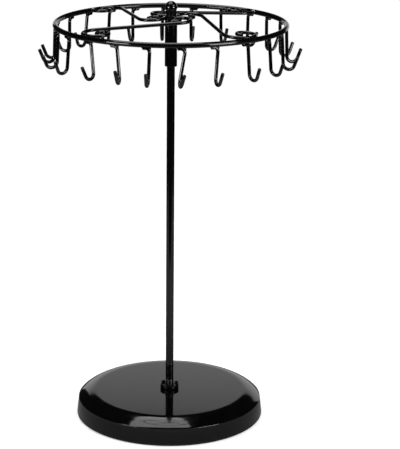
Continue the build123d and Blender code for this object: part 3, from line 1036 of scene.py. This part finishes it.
@dataclass
class HookRing:
    """The ring, its hooks and their welds."""

    shop: Workshop
    weld_sink: float = 0.00095
    foot_straight: float = 0.0025
    foot_bend: float = 0.003
    depth: float = 0.0296
    bowl_radius: float = 0.0045
    flare: float = 24.0
    tip_length: float = 0.008
    outward_lean: float = 2.0
    end_round: float = 0.0007
    weld_lumps: float = 0.0005
    ring_steps: int = 360
    ring_sides: int = 28
    sides: int = 20

    def make_ring(self) -> None:
        """The painted ring."""
        radius, height = ring_place()
        turn = FULL_TURN / self.ring_steps
        points = [(radius * math.cos(step * turn), radius * math.sin(step * turn), height)
                  for step in range(self.ring_steps)]
        line = line_mesh("ring_line", [points], closed=True)
        mesh = self.shop.wired("ring_wire", line, RING_WIRE, self.ring_sides)
        self.shop.deliver("ring_painted", mesh, Body.HEAD, ["ring"])

    def on_ring(self, bearing: float, point: Vector) -> Vector:
        """Move a point from beside the ring at bearing 0 to the given bearing."""
        return Matrix.Rotation(math.radians(bearing), 3, "Z") @ (point + Vector((ring_place()[0], 0.0, 0.0)))

    def hook_line(self, setting: HookSetting) -> list[Vector]:
        """The line of a hook, from its foot, which its weld sinks into the ring, to its tip.

        Args:
            setting: how it was welded on.

        Returns:
            The points in order.
        """
        foot_z = ring_place()[1] - RING_WIRE - BENT_WIRE + self.weld_sink
        bend_z = foot_z - self.foot_bend
        bowl_z = ring_place()[1] - self.depth + self.bowl_radius
        foot = [Vector((0.0, -self.foot_bend - self.foot_straight, foot_z))]
        foot += [Vector((0.0, y - self.foot_bend, z)) for y, z in
                 arc((0.0, bend_z), self.foot_bend, 90.0, setting.side_lean, steps=10)]
        bowl = [Vector((x, 0.0, z)) for x, z in
                arc((self.bowl_radius, bowl_z), self.bowl_radius, 180.0, 360.0 - self.flare, steps=18)]
        flare = math.radians(self.flare)
        bowl.append(bowl[-1] + Vector((math.sin(flare), 0.0, math.cos(flare))) * self.tip_length)
        twist = Matrix.Rotation(math.radians(setting.twist), 3, "Z")
        lean = Matrix.Rotation(math.radians(setting.side_lean), 3, "X")
        bend = Vector((0.0, -self.foot_bend, bend_z))
        hang = [lean @ (twist @ point - bend) + bend for point in bowl]
        outward = Matrix.Rotation(math.radians(-self.outward_lean), 3, "Y")
        top = Vector((0.0, 0.0, foot_z))
        return [self.on_ring(setting.bearing, outward @ (point - top) + top) for point in foot + hang]

    def make_hooks(self) -> None:
        """The painted hooks."""
        eased = [eased_ends(self.hook_line(setting), BENT_WIRE, self.end_round) for setting in HOOK_SETTINGS]
        lines = line_mesh("hook_lines", [line for line, _ in eased], thickness=[shares for _, shares in eased])
        mesh = self.shop.wired("hook_wires", lines, BENT_WIRE, self.sides)
        names = sorted(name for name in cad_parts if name.startswith("hook_"))
        self.shop.deliver("hooks_painted", mesh, Body.HEAD, names)

    def make_welds(self) -> None:
        """The painted welds between each hook's foot and the ring: a bead, and a lump where the wire turns down."""
        height = ring_place()[1] - RING_WIRE
        bearings = [setting.bearing for setting in HOOK_SETTINGS]
        beads = []
        for along, drop, bead in (
                (-0.0032, -0.0001, Bead("foot_bead", (0.00125, 0.0031, 0.00105), self.weld_lumps, seed=4.0)),
                (-0.0004, -0.0006, Bead("bend_lump", (0.00125, 0.0017, 0.00125), self.weld_lumps, seed=7.0))):
            places = [self.on_ring(bearing, Vector((0.0, along, height + drop))) for bearing in bearings]
            beads.append(self.shop.welded(bead, places, bearings))
        self.shop.deliver("hook_welds", joined(*beads), Body.HEAD)

    def build(self) -> None:
        """Make the ring, the hooks and the welds."""
        self.make_ring()
        self.make_hooks()
        self.make_welds()


def eased_ends(points: Sequence[Vector], radius: float, rounding: float) -> tuple[list[Vector], list[float]]:
    """Ease the edge of a wire's two ends.

    Args:
        points: the line's points.
        radius: the wire's radius.
        rounding: the radius of the eased edge.

    Returns:
        The line's points and the share of the wire's radius at each.
    """
    steps = 5
    turns = [math.radians(90.0 * step / steps) for step in range(steps + 1)]
    sunk = [rounding * (1.0 - math.sin(turn)) for turn in turns]
    shares = [1.0 - rounding * (1.0 - math.cos(turn)) / radius for turn in reversed(turns)]
    first = [points[0] + (points[1] - points[0]).normalized() * depth for depth in reversed(sunk)]
    last = [points[-1] + (points[-2] - points[-1]).normalized() * depth for depth in sunk]
    middle = list(points[1:-1])
    return first + middle + last, shares + [1.0] * len(middle) + shares[::-1]


@dataclass
class ScrollArms:
    """The four S-scroll arms and their welds."""

    shop: Workshop
    above_ring: float = 0.0014
    tilt: float = 2.8
    inner_bearing: float = -65.9
    inner_radii: tuple[float, ...] = (0.0100, 0.0096, 0.0074, 0.0052, 0.0036)
    outer_bearing: float = 223.3
    outer_radii: tuple[float, ...] = (0.0128, 0.0116, 0.0084, 0.0056, 0.0040)
    end_round: float = 0.0007
    weld_lumps: float = 0.0004
    weld_reach: float = 0.85
    weld_rise: float = 0.62
    weld_drop: float = 0.0001
    arc_steps: int = 14
    sides: int = 20

    def arm_names(self) -> list[str]:
        """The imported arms' names."""
        return sorted(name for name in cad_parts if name.startswith("scroll_arm_"))

    def touch_radius(self) -> float:
        """How far from the axis an arm's centreline is where it meets the ring."""
        apart = RING_WIRE + BENT_WIRE + WELD_GAP
        return ring_place()[0] - math.sqrt(apart ** 2 - self.above_ring ** 2)

    def hub_z(self) -> float:
        """The height of the arms' plane at the axis."""
        return ring_place()[1] + self.above_ring + self.touch_radius() * math.tan(math.radians(self.tilt))

    @staticmethod
    def direction(bearing: float) -> Vector:
        """A unit vector in the plan, from its bearing in degrees."""
        turn = math.radians(bearing)
        return Vector((math.cos(turn), math.sin(turn), 0.0))

    def curl(self, start: Vector, heading: float, radii: Sequence[float], first_turn: float) -> list[Vector]:
        """A curl of arcs whose radius falls, turning to the left.

        Args:
            start: where it starts.
            heading: the bearing that it starts on, in degrees.
            radii: the radius of each arc.
            first_turn: the first arc's angle. The others turn through 90 degrees.

        Returns:
            The points after the start.
        """
        points: list[Vector] = []
        place, bearing = start, heading
        for index, radius in enumerate(radii):
            turn = first_turn if index == 0 else 90.0
            centre = place + self.direction(bearing + 90.0) * radius
            for step in range(1, self.arc_steps + 1):
                points.append(centre + self.direction(bearing - 90.0 + turn * step / self.arc_steps) * radius)
            place, bearing = points[-1], bearing + turn
        return points

    def centre_shift(self, radii: Sequence[float], last: int) -> Vector:
        """How far a curl's centre moves from its first arc to a later one."""
        steps = [self.direction(90.0 * index) * (radii[index] - radii[index + 1]) for index in range(last)]
        return sum(steps, Vector((0.0, 0.0, 0.0)))

    def arm_line(self) -> list[Vector]:
        """The centreline of the first arm, from its inner curl's end to its outer curl's end.

        Returns:
            The points in order.
        """
        sleeve_reach = node_radius("hub_sleeve") + WELD_GAP + BENT_WIRE + self.inner_radii[2]
        ring_reach = self.touch_radius() / math.cos(math.radians(self.tilt)) - self.outer_radii[1]
        inner_centre = self.direction(self.inner_bearing) * sleeve_reach - self.centre_shift(self.inner_radii, 2)
        outer_centre = self.direction(self.outer_bearing) * ring_reach + self.centre_shift(self.outer_radii, 1)
        between = outer_centre - inner_centre
        bearing = math.degrees(math.atan2(between.y, between.x))
        swing = math.degrees(math.asin((self.inner_radii[0] + self.outer_radii[0]) / between.length))
        heading = (bearing - swing) % 360.0
        outer_start = outer_centre - self.direction(heading + 90.0) * self.outer_radii[0]
        inner_start = inner_centre - self.direction(heading - 90.0) * self.inner_radii[0]
        outward = self.curl(outer_start, heading, self.outer_radii, 270.0 - heading)
        inward = self.curl(inner_start, heading - 180.0, self.inner_radii, 270.0 - heading)
        flat = list(reversed(inward)) + [inner_start, outer_start] + outward
        tip_over = Matrix.Rotation(math.radians(self.tilt), 3, self.direction(self.outer_bearing + 90.0))
        return [tip_over @ point + Vector((0.0, 0.0, self.hub_z())) for point in flat]

    def make_arms(self) -> None:
        """The painted arms."""
        line, thickness = eased_ends(self.arm_line(), BENT_WIRE, self.end_round)
        names = self.arm_names()
        lines = line_mesh("arm_line", [line], thickness=[thickness])
        mesh = self.shop.wired("arm_wires", lines, BENT_WIRE, self.sides, len(names))
        self.shop.deliver("scroll_arms_painted", mesh, Body.HEAD, names)

    def make_welds(self) -> None:
        """The painted welds of each arm to the sleeve and to the ring."""
        sleeve = node_radius("hub_sleeve") + WELD_GAP / 2.0
        ring = self.touch_radius() + BENT_WIRE * self.weld_reach
        count = len(self.arm_names())
        beads = []
        for reach, height, first, bead in (
                (sleeve, self.hub_z() - self.weld_drop, self.inner_bearing,
                 Bead("sleeve_bead", (0.0010, 0.0019, 0.0009), self.weld_lumps, seed=9.0)),
                (ring, ring_place()[1] + self.above_ring * self.weld_rise, self.outer_bearing,
                 Bead("ring_bead", (0.0011, 0.0026, 0.0010), self.weld_lumps, seed=9.0))):
            bearings = [first + 360.0 * arm / count for arm in range(count)]
            places = [self.direction(bearing) * reach + Vector((0.0, 0.0, height)) for bearing in bearings]
            beads.append(self.shop.welded(bead, places, bearings))
        self.shop.deliver("arm_welds", joined(*beads), Body.HEAD)

    def build(self) -> None:
        """Make the arms and their welds."""
        self.make_arms()
        self.make_welds()


@dataclass(frozen=True)
class SoftBox:
    """A soft rectangular lamp that faces the carousel's hub."""

    name: str
    place: tuple[float, float, float]
    width: float
    height: float
    radiance: float
    target: tuple[float, float, float] = (0.0, 0.0, 0.33)

    def hang(self) -> None:
        """Put the lamp in the scene."""
        lamp = bpy.data.lights.new(self.name, "AREA")
        lamp.shape = "RECTANGLE"
        lamp.size = self.width
        lamp.size_y = self.height
        lamp.energy = self.radiance * math.pi * self.width * self.height
        holder = bpy.data.objects.new(self.name, lamp)
        holder.location = self.place
        aim = Vector(self.target) - Vector(self.place)
        holder.rotation_euler = aim.to_track_quat("-Z", "Y").to_euler()
        bpy.context.scene.collection.objects.link(holder)


@dataclass
class Studio:
    """The floor, the backdrop, the lamps and the camera."""

    floor_half_width: float = 0.65
    floor_front: float = -0.40
    floor_back: float = 1.30
    backdrop_left: float = -0.50
    backdrop_right: float = 0.95
    backdrop_height: float = 0.598
    panel_height: float = 1.27
    panel_glow: float = 2.5
    panel_outline: tuple[Point2, ...] = (
        (-0.83, -0.31), (-0.80, -0.36), (0.34, -0.38), (0.38, -0.33), (0.26, 0.02), (0.14, 0.60),
        (0.07, 1.13), (0.01, 1.24), (-0.12, 1.26), (-0.22, 1.02), (-0.43, 0.33), (-0.70, -0.12))
    camera_place: tuple[float, float, float] = (0.0, -1.391634, 0.56619)
    camera_yaw: float = 0.0172
    camera_pitch: float = 0.2836
    camera_roll: float = 0.0092
    focal_pixels: float = 1805.39
    frame_height: float = 449.0
    sensor: float = 36.0

    @staticmethod
    def sheet(name: str, corners: Sequence[Sequence[float]], material: Material) -> Object:
        """Put up a flat sheet that isn't part of the carousel.

        Args:
            name: the sheet's name.
            corners: its corners in order.
            material: its finish.

        Returns:
            The sheet.
        """
        mesh = bpy.data.meshes.new(name)
        mesh.from_pydata([tuple(corner) for corner in corners], [], [tuple(range(len(corners)))])
        mesh.materials.append(material)
        sheet = place_at_origin(name, mesh)
        return sheet

    @staticmethod
    def pale(name: str, seen: float, glow: Callable[[Tree, NodeSocket], NodeSocket]) -> Material:
        """A pale sheet that takes shadows, and that gloss mirrors more dimly, as a painted reflection: glossy and
        clear rays see a darker colour and a glow of its own.

        Args:
            name: the material's name.
            seen: how much it glows to the camera.
            glow: adds the nodes for how much it glows in a glossy or clear surface, from a place on it.

        Returns:
            The material.
        """
        material = bpy.data.materials.new(name)
        material.use_nodes = True
        tree = Tree(material.node_tree)
        rays = tree.add("ShaderNodeLightPath").outputs
        gloss = tree.math("MAXIMUM", rays["Is Glossy Ray"], rays["Is Transmission Ray"])
        # Painted reflection: to glossy and clear rays the sheet glows by place and shows a darker colour than the
        # camera sees.
        mirrored = tree.math("MULTIPLY", gloss, glow(tree, tree.place()))
        for socket, value in (
                ("Roughness", 0.9), ("Specular IOR Level", 0.0), ("Emission Color", (1.0, 1.0, 1.0, 1.0)),
                ("Base Color", tree.mix_colour(gloss, (0.8, 0.8, 0.8, 1.0), (0.05, 0.05, 0.05, 1.0))),
                ("Emission Strength", tree.math("MULTIPLY_ADD", rays["Is Camera Ray"], seen, mirrored))):
            tree.feed(value, material.node_tree.nodes["Principled BSDF"].inputs[socket])
        return material

    @staticmethod
    def table_glow(tree: Tree, place: NodeSocket) -> NodeSocket:
        """The mirrored table's glow, a painted reflection: dim close to the base as painted shade, dim behind the
        rod, paler in front.

        Args:
            tree: the material's tree.
            place: the place on the table.

        Returns:
            The strength.
        """
        away = tree.add("ShaderNodeVectorMath", {0: place}, operation="LENGTH").outputs["Value"]
        # Painted shade: the glow that gloss sees falls off towards the base.
        outward = tree.map_range(away, low=0.09, high=0.26, to_low=0.19, to_high=0.42, smooth=True)
        behind = tree.axis(place, "Y")
        # Painted reflection: the glow that gloss sees falls off behind the rod.
        front = tree.map_range(behind, low=-0.05, high=0.16, to_low=1.0, to_high=0.15, smooth=True)
        return tree.math("MULTIPLY", outward, front)

    @staticmethod
    def paper_glow(tree: Tree, place: NodeSocket) -> NodeSocket:
        """The mirrored backdrop's glow, a painted reflection that darkens towards its top."""
        return tree.map_range(tree.axis(place, "Z"), low=0.42, high=0.60, to_low=0.84, to_high=0.38)

    def lay_floor(self) -> None:
        """The pale table top, and the backdrop behind it that only gloss and light meet."""
        wide, front, back = self.floor_half_width, self.floor_front, self.floor_back
        self.sheet("table_top", [(-wide, front, 0.0), (wide, front, 0.0), (wide, back, 0.0), (-wide, back, 0.0)],
                   self.pale("pale_table", 0.5, self.table_glow))
        left, right, top = self.backdrop_left, self.backdrop_right, self.backdrop_height
        backdrop = self.sheet("backdrop", [(left, back, 0.0), (right, back, 0.0), (right, back, top),
                                           (left, back, top)], self.pale("pale_backdrop", 0.0, self.paper_glow))
        backdrop.visible_camera = False

    def hang_panel(self) -> None:
        """The soft overhead panel, which narrows towards the back, out of the camera's sight."""
        material = bpy.data.materials.new("soft_panel")
        material.use_nodes = True
        shader = material.node_tree.nodes["Principled BSDF"]
        shader.inputs["Emission Color"].default_value = (1.0, 1.0, 1.0, 1.0)
        shader.inputs["Emission Strength"].default_value = self.panel_glow
        panel = self.sheet("overhead_panel", [(x, y, self.panel_height) for x, y in self.panel_outline], material)
        panel.visible_camera = False

    @staticmethod
    def light_air() -> None:
        """White air to the camera, a little fill on the carousel and a dark room in its gloss."""
        world = bpy.data.worlds.new("studio_air")
        world.use_nodes = True
        bpy.context.scene.world = world
        tree = Tree(world.node_tree)
        background = world.node_tree.nodes["Background"]
        background.inputs["Color"].default_value = (1.0, 1.0, 1.0, 1.0)
        rays = tree.add("ShaderNodeLightPath").outputs
        fill = tree.math("MULTIPLY_ADD", rays["Is Diffuse Ray"], 0.2, rays["Is Camera Ray"])
        tree.feed(tree.math("MULTIPLY_ADD", rays["Is Glossy Ray"], 0.01, fill), background.inputs["Strength"])

    @staticmethod
    def hang_lamps() -> None:
        """The side boxes, low and small, and a broad one high on the right."""
        for box in (SoftBox("left_box", (-1.09, -0.90, 0.37), 0.56, 0.25, 22.0),
                    SoftBox("right_box", (1.04, -0.92, 0.37), 0.64, 0.25, 22.0),
                    SoftBox("high_box", (1.00, -0.78, 1.10), 0.80, 0.40, 4.5)):
            box.hang()

    def set_camera(self) -> None:
        """The camera, at the photograph's viewing angle."""
        yaw, pitch, roll = self.camera_yaw, self.camera_pitch, self.camera_roll
        ahead = Vector((math.sin(yaw) * math.cos(pitch), math.cos(yaw) * math.cos(pitch), -math.sin(pitch)))
        level = Vector((math.cos(yaw), -math.sin(yaw), 0.0))
        above = level.cross(ahead)
        right = level * math.cos(roll) + above * math.sin(roll)
        up = above * math.cos(roll) - level * math.sin(roll)
        camera = bpy.data.cameras.new("photo_camera")
        camera.sensor_width = self.sensor
        camera.lens = self.focal_pixels / self.frame_height * self.sensor
        camera.clip_start = 0.05
        camera.clip_end = 20.0
        holder = bpy.data.objects.new("photo_camera", camera)
        turn = Matrix((right, up, -ahead)).transposed()
        holder.matrix_world = Matrix.Translation(self.camera_place) @ turn.to_4x4()
        bpy.context.scene.collection.objects.link(holder)
        bpy.context.scene.camera = holder

    def build(self) -> None:
        """Set up the whole studio."""
        self.lay_floor()
        self.hang_panel()
        self.light_air()
        self.hang_lamps()
        self.set_camera()
        bpy.context.scene.view_settings.view_transform = "Standard"


def main() -> None:
    """Build the carousel and its studio."""
    logging.basicConfig(level=logging.INFO, format="%(name)s: %(message)s")
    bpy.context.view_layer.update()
    shop = Workshop(PieceTrees(), Finishes())
    for part in (WeightedBase(shop), UprightRod(shop), HubAndFinial(shop), HookRing(shop), ScrollArms(shop)):
        part.build()
    Studio().build()


if __name__ == "__main__":
    main()
